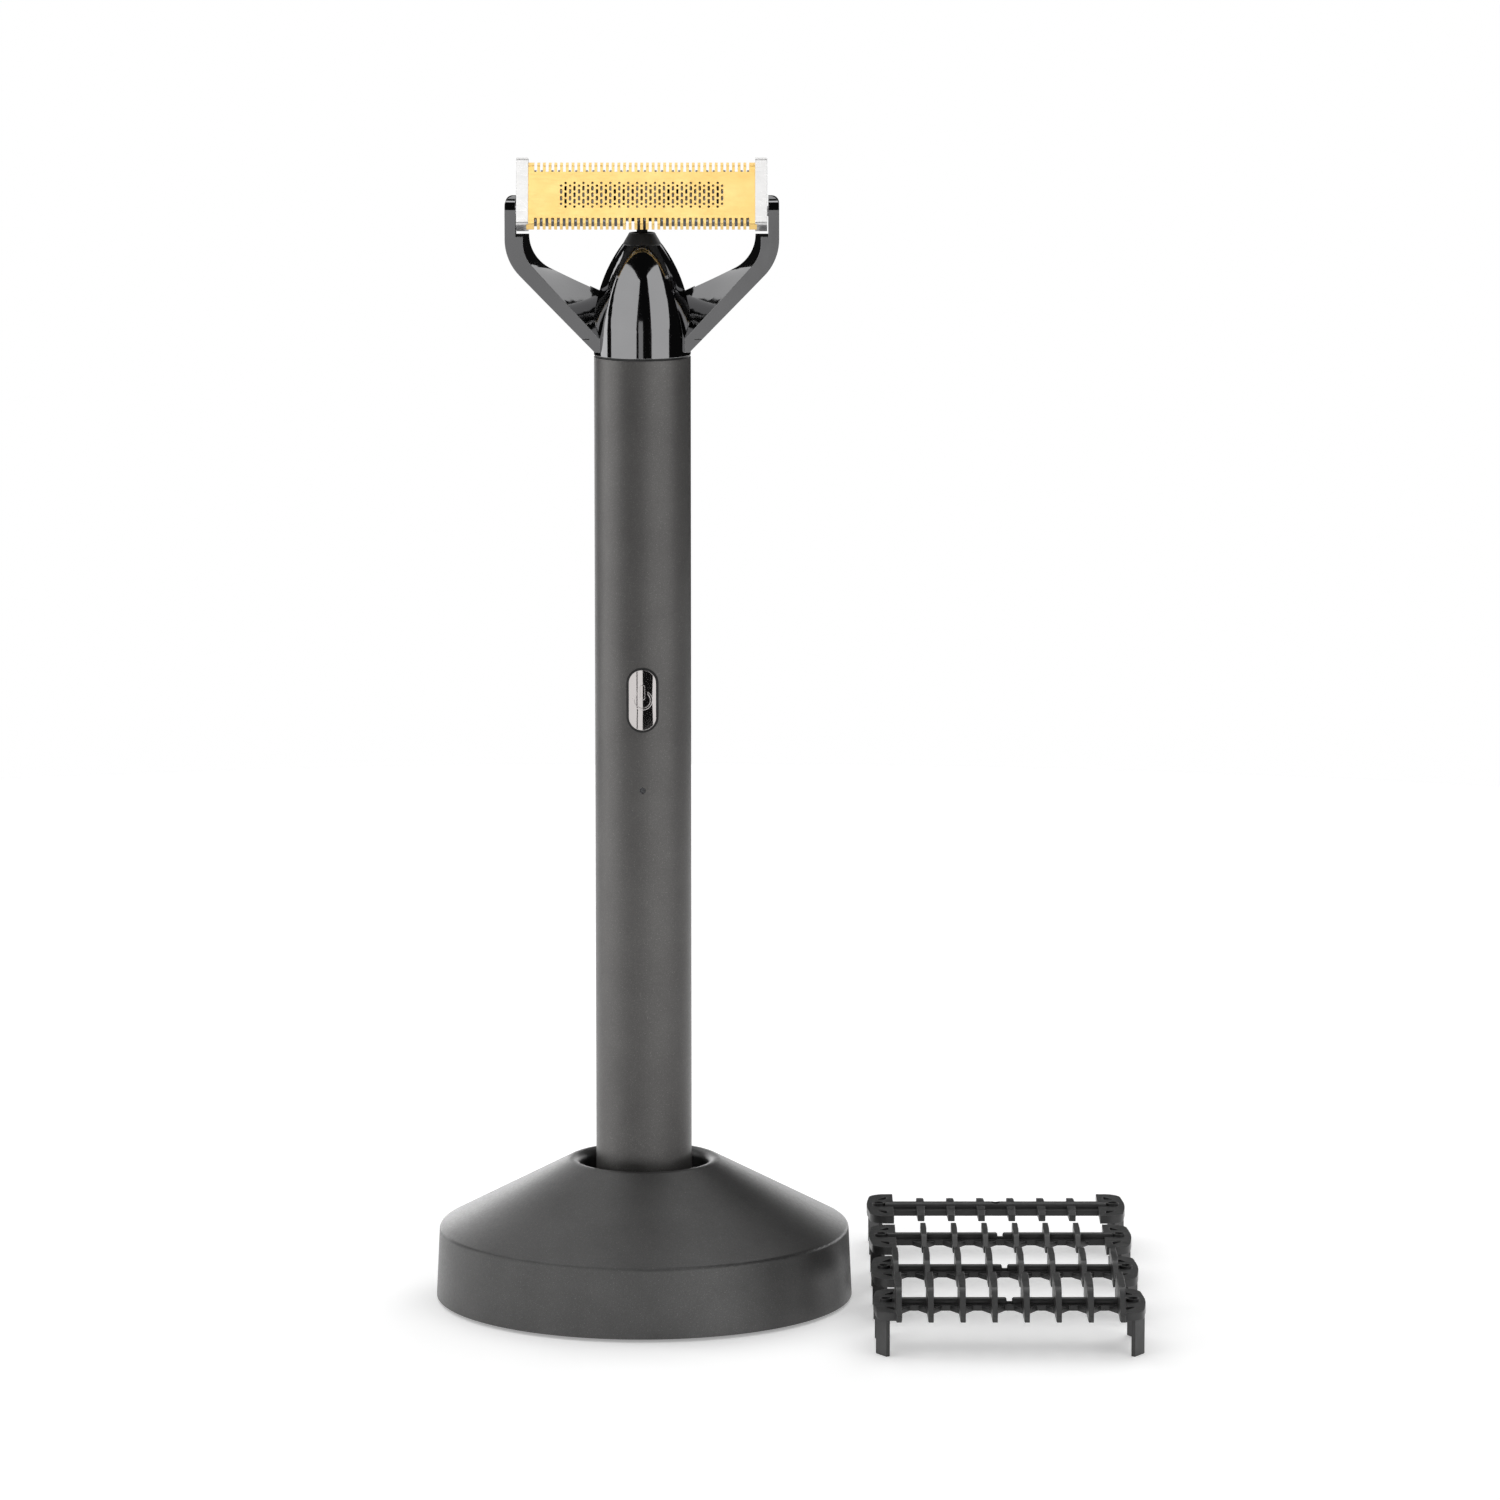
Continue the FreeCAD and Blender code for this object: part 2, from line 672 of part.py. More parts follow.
def make_electronics():
    face = s.chassis_front + s.board_thick
    board = new_body("circuit_board")
    low = s.button_z - s.light_drop - 8
    side = chassis_bore - s.pcb_inset
    outline = rectangle(-side, side, low, low + s.pcb_long, 0.8)
    pad(board, "XZ", [outline], s.board_thick, s.chassis_front)

    switch = new_body("switch_body")
    pad(switch, "XZ", [centred(s.switch_wide, s.switch_tall, s.button_z)], s.switch_deep, face)
    cut(switch, "XZ", [(0, s.button_z, s.plunger_r + 0.1)], s.switch_deep - 0.3, face + 0.3)
    plunger = new_body("switch_plunger")
    pad(plunger, "XZ", [(0, s.button_z, s.plunger_r)], s.plunger_long, face + 0.4 + s.button_travel)

    led = new_body("charge_led")
    led_z = s.button_z - s.light_drop
    pad(led, "XZ", [centred(size(1.6), size(0.9), led_z)], 0.6, face)
    pipe = new_body("light_pipe")
    pad(pipe, "XZ", [(0, led_z, s.light_r)], s.tube_r - face - 0.8, face + 0.65)

    chip = new_body("control_chips")
    pad(chip, "XZ", [centred(size(4.0), size(4.0), s.button_z + 11)], 0.9, face)
    pad(chip, "XZ", [centred(size(5.0), size(2.6), s.button_z - 8)], 1.1, face)


def make_button():
    inner = s.chassis_front + s.board_thick + 0.4 + s.button_travel + s.plunger_long
    seal_r = s.tube_r + s.button_proud * 0.3

    def clipped(label, radius, loops, low):
        """Loops padded forward from low and rounded off to a radius about the handle's axis."""
        blank = doc.addObject("PartDesign::Body", label + "_blank")
        blank.Label = label + "_blank"
        pad(blank, "XZ", loops, s.tube_r + 1 - low, low)
        limit = doc.addObject("Part::Cylinder", label + "_limit")
        bind(limit, "Radius", radius)
        bind(limit, "Height", s.button_tall * 2)
        place(limit, z=s.button_z - s.button_tall)
        common = doc.addObject("Part::Common", label)
        common.Base = blank
        common.Tool = limit
        common.Label = label
        return common

    cap_r = s.tube_r + s.button_proud
    cap = clipped("power_button_cap", cap_r, [slot(s.button_wide, s.button_tall, s.button_z)], s.tube_r - 1.5)
    mark_r = s.button_wide * 0.36
    mark_line = s.button_wide * 0.07
    mark_loops = [(0, s.button_z, mark_r), (0, s.button_z, mark_r - mark_line)]
    mark = clipped("power_button_mark", cap_r + 0.1, mark_loops, s.tube_r - 0.4)
    gap = doc.addObject("Part::Box", "power_button_mark_gap")
    bind(gap, "Length", mark_r * 1.1)
    bind(gap, "Width", size(3.0))
    bind(gap, "Height", mark_r)
    place(gap, -mark_r * 0.55, -s.tube_r - 1, s.button_z + mark_r * 0.45)
    arc = doc.addObject("Part::Cut", "power_button_arc")
    arc.Base = mark
    arc.Tool = gap
    bar_loop = centred(s.button_wide * 0.17, mark_r * 1.5, s.button_z + mark_r * 0.8, s.button_wide * 0.06)
    bar = clipped("power_button_bar", cap_r + 0.1, [bar_loop], s.tube_r - 0.4)
    stem = doc.addObject("Part::Cylinder", "power_button_stem")
    bind(stem, "Radius", size(0.7))
    bind(stem, "Height", s.tube_r - 1.4 - inner)
    stem.Placement.Rotation = FreeCAD.Rotation(FreeCAD.Vector(1, 0, 0), 90)
    place(stem, y=-inner, z=s.button_z)
    button = doc.addObject("Part::MultiFuse", "power_button")
    button.Shapes = [cap, arc, bar, stem]
    keep(button)

    rim = (s.button_rim + s.button_gap) * 2
    hole = s.button_gap * 2
    keep(clipped("button_seal", seal_r, [
        slot(s.button_wide + rim, s.button_tall + rim, s.button_z),
        slot(s.button_wide + hole, s.button_tall + hole, s.button_z),
    ], tube_bore))


# ---------------------------------------------------------------- motor and drive

def make_motor():
    can = new_body("motor_can")
    low = motor_top - s.motor_long
    shaft_bore = s.shaft_r + s.slide_gap
    back = low + s.motor_back
    collar_z = mount_z - 0.3
    turn(can, [
        (0, low), (s.motor_r, low, 0.6), (s.motor_r, motor_top, 0.4), (s.motor_collar_r, motor_top),
        (s.motor_collar_r, collar_z), (shaft_bore, collar_z), (shaft_bore, back), (0, back),
    ])
    screws = [(s.motor_screw_x, 0, s.motor_screw_r), (-s.motor_screw_x, 0, s.motor_screw_r)]
    heads = [(s.motor_screw_x, 0, s.motor_screw_head_r), (-s.motor_screw_x, 0, s.motor_screw_head_r)]
    cut(can, "XY", screws, s.motor_screw_bite + 0.2, motor_top - s.motor_screw_bite - 0.2)

    mount = new_body("motor_mount")
    turn(mount, ring(s.motor_collar_r + 0.1, chassis_r, motor_top, mount_z))
    cut(mount, "XY", screws, mount_thick, motor_top)
    fixings = new_body("motor_screws")
    pad(fixings, "XY", screws, s.motor_screw_bite + mount_thick, motor_top - s.motor_screw_bite)
    pad(fixings, "XY", heads, s.motor_screw_head, mount_z)

    hub_low = mount_z + 1
    hub_high = hub_low + s.crank_hub
    disc_high = hub_high + s.crank_disc
    shaft = new_body("motor_shaft")
    turn(shaft, ring(0, s.shaft_r, back + 0.2, hub_high))
    crank = new_body("crank")
    pad(crank, "XY", [(0, 0, s.crank_hub_r), (0, 0, s.shaft_r)], s.crank_hub, hub_low)
    pad(crank, "XY", [(s.crank_throw, 0, s.crank_disc_r)], s.crank_disc, hub_high)
    pad(crank, "XY", [(s.crank_throw, 0, s.crank_pin_r)], s.crank_pin, disc_high)


def make_lever():
    """The drive lever rocks about a pin in the neck's spigot: its lower end takes the crank's pin with
    room all round, and its upper end drives the blade on the head's tilt axis."""
    lever = new_body("drive_lever")
    half = s.lever_wide / 2
    deep = s.lever_deep / 2
    foot_low = mount_z + s.motor_clear
    foot_high = foot_low + s.lever_foot_tall
    foot = s.lever_foot / 2
    boss = s.lever_boss / 2
    boss_tall = size(1.4)
    boss_end = size(2.2)
    neck_end = joint_z + s.neck_tall
    pad(lever, "XZ", [[
        (-foot, foot_low), (foot, foot_low), (foot, foot_high), (half, foot_high + 1.2),
        (half, lever_z - boss_end), (boss, lever_z - boss_tall), (boss, lever_z + boss_tall),
        (half, lever_z + boss_end), (half, neck_end), (-half, neck_end), (-half, lever_z + boss_end),
        (-boss, lever_z + boss_tall), (-boss, lever_z - boss_tall), (-half, lever_z - boss_end),
        (-half, foot_high + 1.2), (-foot, foot_high),
    ]], s.lever_deep, both=True)
    rear = s.pivot_forward - deep
    front = s.pivot_forward + deep
    boot_high = neck_end + s.boot_tall
    tip_high = pivot_z + deep
    pad(lever, "YZ", [[
        (-deep, neck_end - 1), (deep, neck_end - 1), (deep, boot_high), (-rear, pivot_z - 1),
        (-rear, tip_high), (-front, tip_high), (-front, pivot_z - 1), (-deep, boot_high),
    ]], s.lever_wide, both=True)
    pad(lever, "XY", [rectangle(-foot, foot, -1.9, 1.9)], foot_high - foot_low, foot_low)
    cut(lever, "XY", [rectangle(-1.5, 1.5, -1.15, 1.15)], foot_high - foot_low, foot_low)
    cut(lever, "XZ", [(0, lever_z, s.lever_pin_r + s.slide_gap)], s.lever_deep * 2, both=True)

    pin = new_body("lever_pin")
    pad(pin, "XZ", [(0, lever_z, s.lever_pin_r)], plug_r * 2 - 0.6, both=True)

    boot = new_body("drive_boot")
    opening = half + s.lever_room
    mouth_r = s.neck_top_r - s.neck_lip
    turn(boot, [
        (opening, neck_end - 1.4),
        (mouth_r, neck_end - 1.4),
        (mouth_r, neck_end),
        (s.neck_top_r - s.slide_gap, neck_end),
        (opening + 0.4, boot_high, 0.2),
        (opening, boot_high),
    ])


# ---------------------------------------------------------------- neck and fork

def make_neck():
    ring_body = new_body("neck_ring")
    turn(ring_body, ring(plug_r, s.tube_r - 0.15, tube_high, joint_z))

    yoke = new_body("fork_neck")
    top = joint_z + s.neck_tall
    sketch = new_sketch(yoke, "XZ", [])
    draw_neck_profile(sketch, top)
    add_feature(yoke, "Revolution", sketch, ReferenceAxis=(sketch, ["V_Axis"]), Angle=360.0)

    arm = make_arm(yoke)
    mirror(yoke, [arm])
    shape_arms(yoke)
    cavity_r = plug_r - s.neck_wall
    bore_r = s.neck_top_r - s.neck_lip
    turn(yoke, [
        (0, joint_z - s.spigot_long - 1), (cavity_r, joint_z - s.spigot_long - 1),
        (cavity_r, joint_z + s.neck_straight), (bore_r, top - 5), (bore_r, top + 1), (0, top + 1),
    ], "Groove")
    cut(yoke, "XZ", [(0, lever_z, s.lever_pin_r)], s.tube_r * 2, both=True)
    pin_hole = cut(yoke, "YZ", [(-s.pivot_forward, pivot_z, s.pivot_r)], s.fork_half - 0.4)
    mirror(yoke, [pin_hole])


def draw_neck_profile(sketch, top):
    """Half section of the solid neck: spigot, short cylinder, then one arc up to the flat top."""
    arc_low = joint_z + s.neck_straight
    corners = [
        (0, joint_z - s.spigot_long), (plug_r, joint_z - s.spigot_long), (plug_r, joint_z),
        (s.tube_r, joint_z), (s.tube_r, arc_low),
    ]
    points = [FreeCAD.Vector(size(x).value, size(z).value, 0) for x, z in corners]
    lines = [sketch.addGeometry(Part.LineSegment(a, b)) for a, b in zip(points, points[1:])]
    rise = (top - arc_low).value
    taper = (s.tube_r - s.neck_top_r).value
    bulge = (rise ** 2 + taper ** 2) / (2 * taper)
    centre = points[-1] - FreeCAD.Vector(bulge, 0, 0)
    circle = Part.Circle(centre, FreeCAD.Vector(0, 0, 1), bulge)
    arc = sketch.addGeometry(Part.ArcOfCircle(circle, 0, math.asin(rise / bulge)))
    rim = FreeCAD.Vector(s.neck_top_r.value, top.value, 0)
    axis_top = FreeCAD.Vector(0, top.value, 0)
    lid = sketch.addGeometry(Part.LineSegment(rim, axis_top))
    close = sketch.addGeometry(Part.LineSegment(axis_top, points[0]))
    for geo, (x, z) in zip(lines, corners):
        pin_point(sketch, geo, 1, x, z)
    for before, after in zip(lines, lines[1:]):
        sketch.addConstraint(Sketcher.Constraint("Coincident", before, 2, after, 1))
    pin_point(sketch, lines[-1], 2, s.tube_r, arc_low)
    sketch.addConstraint(Sketcher.Constraint("Tangent", lines[-1], 2, arc, 1))
    pin_point(sketch, arc, 2, s.neck_top_r, top)
    sketch.addConstraint(Sketcher.Constraint("Coincident", arc, 2, lid, 1))
    sketch.addConstraint(Sketcher.Constraint("Coincident", lid, 2, close, 1))
    pin_point(sketch, close, 1, 0, top)
    sketch.addConstraint(Sketcher.Constraint("Coincident", close, 2, lines[0], 1))


def make_arm(yoke):
    """One fork arm: a loft from the narrow band at its front to the wide web at its back."""
    tip_z = pivot_z + s.pivot_boss
    corner_z = joint_z + s.fork_corner
    root_x = s.tube_r - 0.2
    root_z = joint_z + 0.7
    inside_x = s.tube_r - 2.5

    def outline(width, crotch_z, inner_corner_z, bend):
        return [
            (-s.fork_half, tip_z, 1.5),
            (-s.fork_half, corner_z, s.fork_bend),
            (-root_x, root_z),
            (-inside_x, root_z),
            (-inside_x, crotch_z),
            (-(s.fork_half - width), inner_corner_z, bend),
            (-(s.fork_half - width), tip_z),
        ]

    band = outline(s.fork_band, root_z + 0.8, corner_z + 0.7, s.fork_bend - s.fork_band)
    web = outline(s.fork_web, joint_z + s.fork_crotch, corner_z - 0.3, s.fork_bend * 0.75)
    front = new_sketch(yoke, "XZ", [band], s.fork_front)
    back = new_sketch(yoke, "XZ", [web], -s.fork_back)
    return add_feature(yoke, "AdditiveLoft", front, Sections=[back], Ruled=True)


def shape_arms(yoke):
    """Trims the arms to their side profile, and clears the space where the head tilts."""
    tip_z = pivot_z + s.pivot_boss
    low_z = joint_z + 3
    outside = rectangle(-s.fork_front - 2, s.fork_back + 2, low_z, tip_z + 2)
    inside = [
        (-s.fork_front - 0.5, low_z + 0.1),
        (s.fork_back + 0.5, low_z + 0.1),
        (s.fork_back - 1, pivot_z - s.tilt_room, 6),
        (s.fork_back - 1, tip_z, s.pivot_boss * 0.9),
        (-s.pivot_forward - s.pivot_boss * 0.75, tip_z, s.pivot_boss * 0.9),
        (-s.pivot_forward - s.pivot_boss * 0.75, pivot_z - s.tilt_room, 6),
    ]
    profile = cut(yoke, "YZ", [outside, inside], s.fork_half, s.tube_r + 0.7)
    clear_x = s.fork_half - s.fork_tip
    room = rectangle(s.tube_r * 1.3, clear_x, -s.tube_r, s.tube_r)
    clearance = cut(yoke, "XY", [room], 20, pivot_z - s.tilt_room)
    mirror(yoke, [profile, clearance])


# ---------------------------------------------------------------- cutter head

cap_inner = s.fork_half - s.fork_tip - s.head_gap - s.cap_thick
foil_low = s.foil_mid - s.foil_half
foil_high = s.foil_mid + s.foil_half
blade_front = s.foil_front - s.foil_thick - s.blade_gap
blade_rear = blade_front - s.blade_thick
carrier_front = blade_rear - s.blade_gap
wire = size(0.3)


def head_body(label):
    """A body drawn upright about the tilt axis, then placed on the axis at the head's rest tilt."""
    body = new_body(label)
    place(body, y=-s.pivot_forward, z=pivot_z, tilt=-s.head_tilt)
    return body


def foil_section():
    """The foil's section as (back, up) corners: a flat front with both edges bent back."""
    face = -s.foil_front
    inside = face + s.foil_thick
    corner = s.foil_thick * 0.47
    tip_in = s.foil_thick * 0.64
    tip_down = s.foil_thick * 0.77
    bend = s.foil_thick * 1.5
    return [
        (face, foil_low, bend),
        (face, foil_high, bend),
        (face + s.lip_back, foil_high + s.lip_rise),
        (face + s.lip_back + tip_in, foil_high + s.lip_rise - tip_down),
        (inside, foil_high - corner),
        (inside, foil_low + corner),
        (face + s.lip_back + tip_in, foil_low - s.lip_rise + tip_down),
        (face + s.lip_back, foil_low - s.lip_rise),
    ]


def make_end_cap(label, side):
    cap = head_body(label)
    flip = side < 0
    rounding = s.cap_round
    profile = [
        (-s.head_front, -s.head_low, rounding),
        (0, -s.head_low, rounding),
        (s.head_rear, s.cap_slope - s.head_low, rounding),
        (s.head_rear, s.head_high, rounding * 2),
        (-s.head_front, s.head_high, rounding),
    ]
    inner = cap_inner if side > 0 else -cap_inner
    pad(cap, "YZ", [profile], s.cap_thick, inner, flip=flip)
    cut(cap, "YZ", [foil_section()], s.foil_tuck, inner, flip=flip)
    cut(cap, "YZ", [(0, 0, s.pivot_r + s.slide_gap)], s.cap_thick, inner, flip=flip)
    cut(cap, "YZ", [(0, 0, s.pivot_r + 0.55)], 1.0, inner, flip=flip)
    cut(cap, "YZ", [rectangle(-0.3, 0.3, s.pivot_r, s.pivot_r + 2)], 0.5, inner, flip=flip)


def make_foil():
    foil = head_body("front_foil")
    pad(foil, "YZ", [foil_section()], (cap_inner + s.foil_tuck) * 2, both=True)
    half = s.tooth_slot / 2
    first = -s.tooth_pitch * (SIZES["tooth_slots"] - 1) / 2
    inner = s.foil_half - s.tooth_deep
    outer = s.foil_half + s.lip_rise + 0.5
    gaps = [
        rectangle(first - half, first + half, s.foil_mid + inner, s.foil_mid + outer),
        rectangle(first - half, first + half, s.foil_mid - outer, s.foil_mid - inner),
    ]
    slots = cut(foil, "XZ", gaps, s.foil_front, 1)
    repeat(foil, [slots], "X_Axis", s.tooth_pitch, SIZES["tooth_slots"])

    columns = SIZES["hole_columns"]
    start = -s.hole_pitch * (columns - 1) / 2
    even = [(-1.63, s.hole_short), (-0.62, s.hole_long), (0.62, s.hole_long), (1.63, s.hole_short)]
    odd = [
        (-2.13, s.hole_short), (-1.17, s.hole_long), (0, s.hole_long), (1.17, s.hole_long),
        (2.13, s.hole_short),
    ]
    for rows, x, count in ((even, start, columns // 2 + 1), (odd, start + s.hole_pitch, columns // 2)):
        holes = [foil_hole(x, s.foil_mid + up, tall) for up, tall in rows]
        column = cut(foil, "XZ", holes, s.foil_thick * 3, s.foil_front - s.foil_thick * 2)
        repeat(foil, [column], "X_Axis", s.hole_pitch * 2, count)


def foil_hole(x, z, tall):
    """An upright hole with its corners cut off."""
    side = s.hole_wide / 2
    end = tall / 2
    nick = s.hole_wide * 0.25
    return [
        (x - side, z - end + nick), (x - side + nick, z - end), (x + side - nick, z - end),
        (x + side, z - end + nick), (x + side, z + end - nick), (x + side - nick, z + end),
        (x - side + nick, z + end), (x - side, z + end - nick),
    ]


def make_blade():
    blade = head_body("moving_blade")
    long = (cap_inner - s.blade_stroke - 0.2) * 2
    pad(blade, "XZ", [centred(long, s.blade_half * 2, s.foil_mid)], s.blade_thick, blade_rear)
    first = -s.blade_pitch * (SIZES["blade_slots"] - 1) / 2
    left = first - s.blade_slot / 2
    right = first + s.blade_slot / 2
    tooth = s.blade_half - 1.6
    gaps = [
        rectangle(left, right, s.foil_mid + tooth, s.foil_mid + s.blade_half + 0.5),
        rectangle(left, right, s.foil_mid - s.blade_half - 0.5, s.foil_mid - tooth),
        rectangle(left, right, s.foil_mid - 2.4, s.foil_mid + 2.4),
    ]
    slots = cut(blade, "XZ", gaps, s.blade_thick + 1, blade_rear - 0.5)
    repeat(blade, [slots], "X_Axis", s.blade_pitch, SIZES["blade_slots"])

    slider = head_body("blade_slider")
    reach = cap_inner - s.carrier_wall - s.blade_stroke - 0.3
    frame = centred(reach * 2, (s.carrier_half - s.carrier_wall - 0.2) * 2, s.foil_mid)
    window = s.carrier_half - s.carrier_wall - 0.9
    windows = [
        rectangle(3.2, reach - 1.2, s.foil_mid - window, s.foil_mid + window),
        rectangle(-reach + 1.2, -3.2, s.foil_mid - window, s.foil_mid + window),
    ]
    pad(slider, "XZ", [frame, *windows], blade_rear - s.slider_rear, s.slider_rear)
    near = s.lever_wide / 2 + 0.12
    far = near + 0.85
    cheeks = [rectangle(near, far, -1.2, 1.2), rectangle(-far, -near, -1.2, 1.2)]
    pad(slider, "XZ", cheeks, s.slider_rear + 1.0, -1.0)


def make_carrier():
    carrier = head_body("head_carrier")
    low = s.foil_mid - s.carrier_half
    high = s.foil_mid + s.carrier_half
    floor = size(0.2)
    pad(carrier, "YZ", [rectangle(-carrier_front, s.carrier_rear, low, high)], cap_inner * 2, both=True)
    hollow = centred((cap_inner - s.carrier_wall) * 2, (s.carrier_half - s.carrier_wall) * 2, s.foil_mid)
    cut(carrier, "XZ", [hollow], carrier_front - floor + 1, floor)
    passage = centred(s.carrier_slot, 1.5 - low + 1, (1.5 + low - 1) / 2)
    cut(carrier, "XZ", [passage], s.slider_rear + s.carrier_rear + 1, -s.carrier_rear - 1)

    springs = head_body("blade_springs")
    near = size(5.5)
    far = cap_inner - s.carrier_wall - 3.3
    mid = (near + far) / 2
    rise = s.slider_rear - 0.1
    leaf = [
        (near, -floor), (near, -floor - 0.2), (mid, -rise), (far, -floor - 0.2), (far, -floor),
        (far - 0.4, -floor), (mid, -rise + 0.25), (near + 0.4, -floor),
    ]
    strip = pad(springs, "XY", [leaf], 2.4, s.foil_mid - 1.2)
    mirror(springs, [strip])


def make_pivots():
    pins = head_body("pivot_pins")
    end = s.fork_half - 0.4
    pin = pad(pins, "YZ", [(0, 0, s.pivot_r)], end - cap_inner - 0.2, cap_inner + 0.2)
    mirror(pins, [pin])
    springs = head_body("head_springs")
    inner = s.pivot_r + 0.12
    coil = pad(springs, "YZ", [(0, 0, inner + wire), (0, 0, inner)], 0.8, cap_inner + 0.1)
    leg = pad(springs, "YZ", [rectangle(-wire / 2, wire / 2, inner + wire / 2, s.pivot_r + 1.8)], wire,
              cap_inner + 0.1)
    mirror(springs, [coil, leg])


# ---------------------------------------------------------------- guide combs

def make_comb(label, row, rise, half, root, tip, teeth, spine):
    """A comb lies on its clips with its teeth up. Its spine and end plates are one level plate."""
    comb = new_body(label)
    place(comb, x=s.base_r + s.comb_clear + s.comb_half, y=s.comb_row * row)
    low = s.comb_leg
    high = low + s.comb_plate
    top = high + rise
    add_teeth(comb, low, top, half, root, tip, teeth, spine)

    plate = [
        (s.comb_inner, -s.comb_tall),
        (s.comb_half - 0.9, -s.comb_tall, s.comb_round),
        (s.comb_half, 0, s.comb_tall * 4),
        (s.comb_half - 0.9, s.comb_tall, s.comb_round),
        (s.comb_inner, s.comb_tall),
    ]
    near = s.comb_inner + 1.2
    far = near + s.comb_window_wide
    windows = [
        [(near, s.comb_window_high, 0.2), (far, s.comb_window_low, 0.2), (near, s.comb_window_low, 0.8)],
        [(near, -s.comb_window_high, 0.2), (far, -s.comb_window_low, 0.2), (near, -s.comb_window_low, 0.8)],
    ]
    clip_x = cap_inner + s.cap_thick + 0.1
    clip_y = (s.head_low + s.head_high) / 2
    clips = []
    for side in (1, -1):
        clips.append([
            (clip_x + 0.6, (clip_y - 0.9) * side), (clip_x - 1.1, (clip_y + 1.9) * side),
            (clip_x - 0.5, (clip_y + 2.4) * side), (clip_x + 1.3, (clip_y - 0.4) * side),
        ])
    end = pad(comb, "XY", [plate, *windows], s.comb_plate, low)
    legs = pad(comb, "XY", clips, low)
    peg_x = s.comb_half - s.comb_peg_inset
    pegs = pad(comb, "XY", [(peg_x, 0, s.comb_peg_r)], 0.5, high)
    dimples = cut(comb, "XY", [(peg_x, 0, s.comb_dimple_r)], 1.0, high)
    mirror(comb, [end, legs, pegs, dimples])
    rod = spine * 0.42
    reach = s.comb_inner + 1.5
    pad(comb, "XY", [centred(s.comb_inner * 2 + 1, spine * 2)], s.comb_plate * 0.7, low)
    rod_high = high + 0.6
    rod_section = [(-rod, low), (rod, low), (rod, rod_high, rod * 0.7), (-rod, rod_high, rod * 0.7)]
    pad(comb, "YZ", [rod_section], reach * 2, both=True)
    cut(comb, "XY", [(0, 0, 0.85)], s.comb_plate + 3, low - 1)


def add_teeth(comb, low, top, half, root, tip, teeth, spine):
    """Tapered ribs across the spine, rounded over at both ends in side view."""
    first = -s.comb_pitch * (teeth - 1) / 2
    tooth = [
        (first - tip, -half, 0.25), (first + tip, -half, 0.25), (first + root, 0),
        (first + tip, half, 0.25), (first - tip, half, 0.25), (first - root, 0),
    ]
    ribs = pad(comb, "XY", [tooth], top - low, low)
    features = [ribs]
    if spine < 2:
        gusset = [
            (first - 2, -spine), (first - root, -3.9), (first + root, -3.9), (first + 2, -spine),
            (first + 2, spine), (first + root, 3.9), (first - root, 3.9), (first - 2, spine),
        ]
        features.append(pad(comb, "XY", [gusset], s.comb_plate * 0.6, low))
    repeat(comb, features, "X_Axis", s.comb_pitch, teeth)
    shoulder = low + s.comb_plate * 0.8
    over = top + 3
    for side in (1, -1):
        corner = [
            (half * 1.2 * side, shoulder), (half * side, shoulder), (half * 0.62 * side, top, 2.5),
            (half * 0.3 * side, top), (half * 0.3 * side, over), (half * 1.2 * side, over),
        ]
        cut(comb, "YZ", [corner], s.comb_half * 2, both=True)


# ---------------------------------------------------------------- export

def check(item):
    if "Invalid" in item.State or "Error" in item.State:
        raise RuntimeError(f"{item.Label} failed: {item.State}")


def export_parts():
    os.makedirs("parts", exist_ok=True)
    for item in PARTS:
        shape = item.Shape
        if shape.isNull() or not shape.isValid() or not shape.Solids:
            raise RuntimeError(f"{item.Label} has no valid solid")
    for item in PARTS:
        item.Shape.exportStep(os.path.join("parts", item.Label + ".step"))
        print(f"{item.Label}: {len(item.Shape.Solids)} solids, {item.Shape.Volume:.1f} mm3")


make_stand_shell()
make_socket_liner()
make_ballast()
make_base_plate()
make_base_screws()
make_charger()
make_handle_tube()
make_tail()
make_chassis()
make_cell()
make_electronics()
make_button()
make_motor()
make_lever()
make_neck()
make_end_cap("end_cap_left", -1)
make_end_cap("end_cap_right", 1)
make_foil()
make_blade()
make_carrier()
make_pivots()
for comb in COMBS:
    make_comb(*comb)
doc.recompute()
for thing in doc.Objects:
    check(thing)
export_parts()
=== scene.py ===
"""Looks of the beard trimmer, its charging stand and its guide combs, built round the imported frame."""

import json
import math

import bpy
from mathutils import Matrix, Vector

MM = 0.001
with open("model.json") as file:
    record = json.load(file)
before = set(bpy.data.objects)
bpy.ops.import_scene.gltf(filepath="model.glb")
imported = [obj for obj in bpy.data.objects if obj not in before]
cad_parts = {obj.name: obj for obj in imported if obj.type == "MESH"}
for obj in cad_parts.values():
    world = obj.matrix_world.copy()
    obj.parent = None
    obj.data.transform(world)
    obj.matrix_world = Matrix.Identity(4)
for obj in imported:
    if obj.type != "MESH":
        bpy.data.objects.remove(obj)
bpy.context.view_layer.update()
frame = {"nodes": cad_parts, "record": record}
nodes = frame["nodes"]


# ---------------------------------------------------------------- node helpers

NOISE_ROUGHNESS = 0.55
NOISE_LOW, NOISE_HIGH = 0.3, 0.7                    # most of a noise's values lie between these
EDGE_SAMPLES = 6                                    # rays with which a bevel node looks for an edge
MIX_FACTOR, MIX_A, MIX_B, MIX_RESULT = 0, 6, 7, 2   # the mix node's colour sockets: their names repeat


